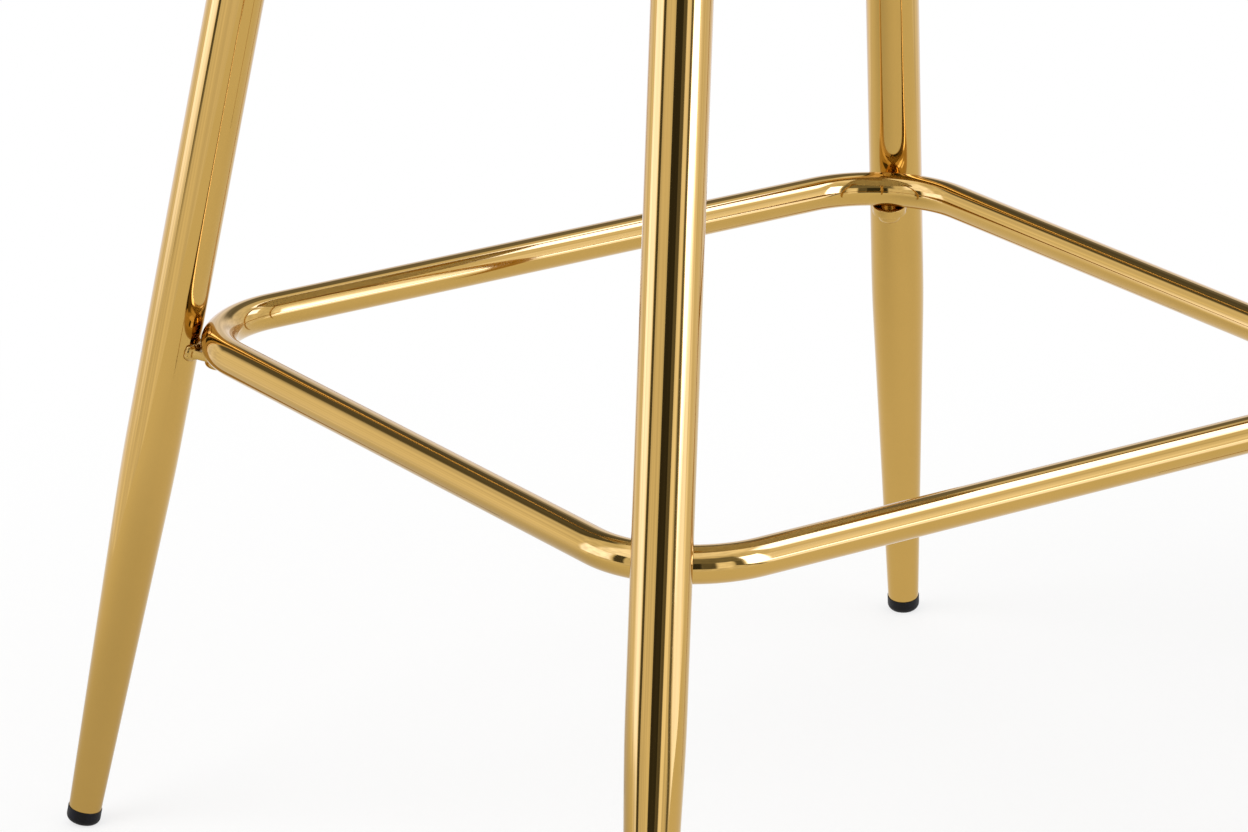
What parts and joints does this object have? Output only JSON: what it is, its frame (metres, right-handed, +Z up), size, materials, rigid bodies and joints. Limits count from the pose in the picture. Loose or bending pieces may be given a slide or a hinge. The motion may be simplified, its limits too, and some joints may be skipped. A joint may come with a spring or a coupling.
{
  "type": "bar stool with footrest",
  "caption": "Backless padded bar stool on splayed tapered tube legs, with a bent tube footrest ring bolted to lugs inside the legs.",
  "frame": {"origin": "on the floor, midway between the four foot glides", "axes": "+Z up, -Y is the front edge, +X is to the right seen from the front"},
  "size_m": [0.4834, 0.4614, 0.6703],
  "materials": {
    "gold_plate": "polished gold electroplate on steel tube",
    "zinc_steel": "bright zinc plate on steel",
    "black_plastic": "moulded polyethylene, fine texture",
    "plywood": "unfinished birch plywood",
    "foam": "cut polyurethane foam",
    "lining_cloth": "off-white spunbonded lining cloth",
    "seat_cloth": "ivory short-pile velvet"
  },
  "bodies": {
    "root": {"leg_tube_front_left": "gold_plate", "leg_plate_front_left": "gold_plate", "foot_glide_front_left": "black_plastic", "footrest_lug_front_left": "gold_plate", "leg_tube_front_right": "gold_plate", "leg_plate_front_right": "gold_plate", "foot_glide_front_right": "black_plastic", "footrest_lug_front_right": "gold_plate", "leg_tube_rear_right": "gold_plate", "leg_plate_rear_right": "gold_plate", "foot_glide_rear_right": "black_plastic", "footrest_lug_rear_right": "gold_plate", "leg_tube_rear_left": "gold_plate", "leg_plate_rear_left": "gold_plate", "foot_glide_rear_left": "black_plastic", "footrest_lug_rear_left": "gold_plate", "footrest_ring": "gold_plate", "footrest_inserts": "gold_plate", "footrest_washers": "gold_plate", "footrest_screws": "gold_plate", "seat_washers": "zinc_steel", "seat_screws": "zinc_steel", "seat_tee_nuts": "zinc_steel", "seat_board": "plywood", "seat_foam": "foam", "seat_lining": "lining_cloth", "seat_top_panel": "seat_cloth", "seat_side_band": "seat_cloth", "seat_welt": "seat_cloth", "cover_staples": "zinc_steel"}
  },
  "joints": []
}
